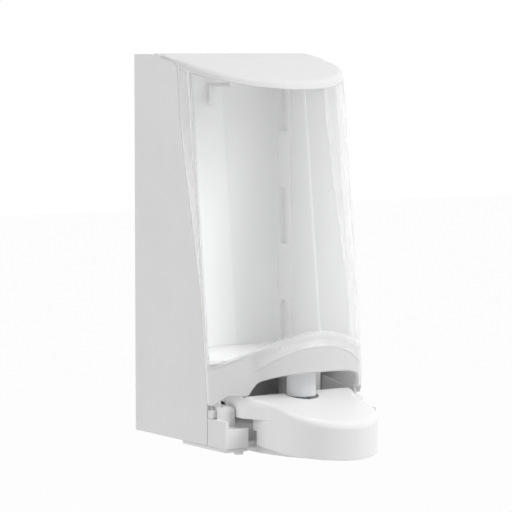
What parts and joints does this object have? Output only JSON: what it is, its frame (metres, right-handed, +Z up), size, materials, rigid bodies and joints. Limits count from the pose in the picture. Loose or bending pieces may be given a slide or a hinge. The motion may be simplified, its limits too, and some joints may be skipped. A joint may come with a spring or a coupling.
{
  "type": "soap dispenser",
  "caption": "Wall-mounted push-lever soap dispenser: white housing, clear hinged front cover with milky roof and chin, and a round-nosed lever over a pump.",
  "frame": {"origin": "middle of the lower edge of the housing's flat back, on the wall plane", "axes": "+Z up, +Y into the wall, so the front faces -Y; +X to the viewer's right when facing the front"},
  "size_m": [0.1208, 0.167, 0.2555],
  "materials": {
    "white_body_plastic": "satin white moulded plastic",
    "white_lever_plastic": "smooth white moulded plastic",
    "clear_cover_plastic": "clear moulded plastic with a milky roof rim and chin",
    "pale_pump_plastic": "semi-matte natural plastic",
    "soft_rubber": "soft matte rubber",
    "bright_steel": "bright steel"
  },
  "bodies": {
    "body": {"housing_shell": "white_body_plastic", "base_chassis": "white_body_plastic", "bottom_plate": "white_body_plastic", "refill_shelf": "white_body_plastic", "neck_collar": "white_body_plastic", "bag_hanger": "white_body_plastic", "pump_barrel": "pale_pump_plastic", "chassis_screw_left": "bright_steel", "chassis_screw_right": "bright_steel", "plate_screw_left": "bright_steel", "plate_screw_right": "bright_steel", "shelf_screw_left_1": "bright_steel", "shelf_screw_left_2": "bright_steel", "shelf_screw_right_1": "bright_steel", "shelf_screw_right_2": "bright_steel", "hinge_pin_left": "bright_steel", "hinge_pin_right": "bright_steel", "lever_pin_left": "bright_steel", "lever_pin_right": "bright_steel", "pump_spring": "bright_steel", "latch_spring_left": "bright_steel", "latch_spring_right": "bright_steel"},
    "cover": {"front_cover": "clear_cover_plastic"},
    "lever": {"push_lever": "white_lever_plastic"},
    "plunger": {"pump_piston": "pale_pump_plastic", "pump_seal": "soft_rubber", "outlet_nozzle": "pale_pump_plastic", "anti_drip_valve": "soft_rubber"},
    "left_button": {"latch_button_left": "white_body_plastic"},
    "right_button": {"latch_button_right": "white_body_plastic"}
  },
  "joints": [
    {"name": "cover_hinge", "type": "hinge", "parent": "body", "child": "cover", "pos_m": [0, -0.0262, 0.2455], "axis": [-1, 0, 0], "range_deg": [0, 95]},
    {"name": "lever_press", "type": "hinge", "parent": "body", "child": "lever", "pos_m": [0, -0.08, 0.022], "axis": [1, 0, 0], "range_deg": [0, 8.5], "stiffness_Nm_per_rad": 1.2, "springref_deg": -20.05},
    {"name": "plunger_slide", "type": "slide", "parent": "body", "child": "plunger", "axis": [0, 0, -1], "range_m": [0, 0.006], "deforming": ["pump_spring"]},
    {"name": "left_button_press", "type": "slide", "parent": "body", "child": "left_button", "axis": [1, 0, 0], "range_m": [0, 0.0022], "stiffness_N_per_m": 400, "springref_m": -0.002, "deforming": ["latch_spring_left"]},
    {"name": "right_button_press", "type": "slide", "parent": "body", "child": "right_button", "axis": [-1, 0, 0], "range_m": [0, 0.0022], "stiffness_N_per_m": 400, "springref_m": -0.002, "deforming": ["latch_spring_right"]}
  ],
  "couplings": [
    {"joint": "plunger_slide", "follows": "lever_press", "m_per_rad": 0.0395}
  ]
}
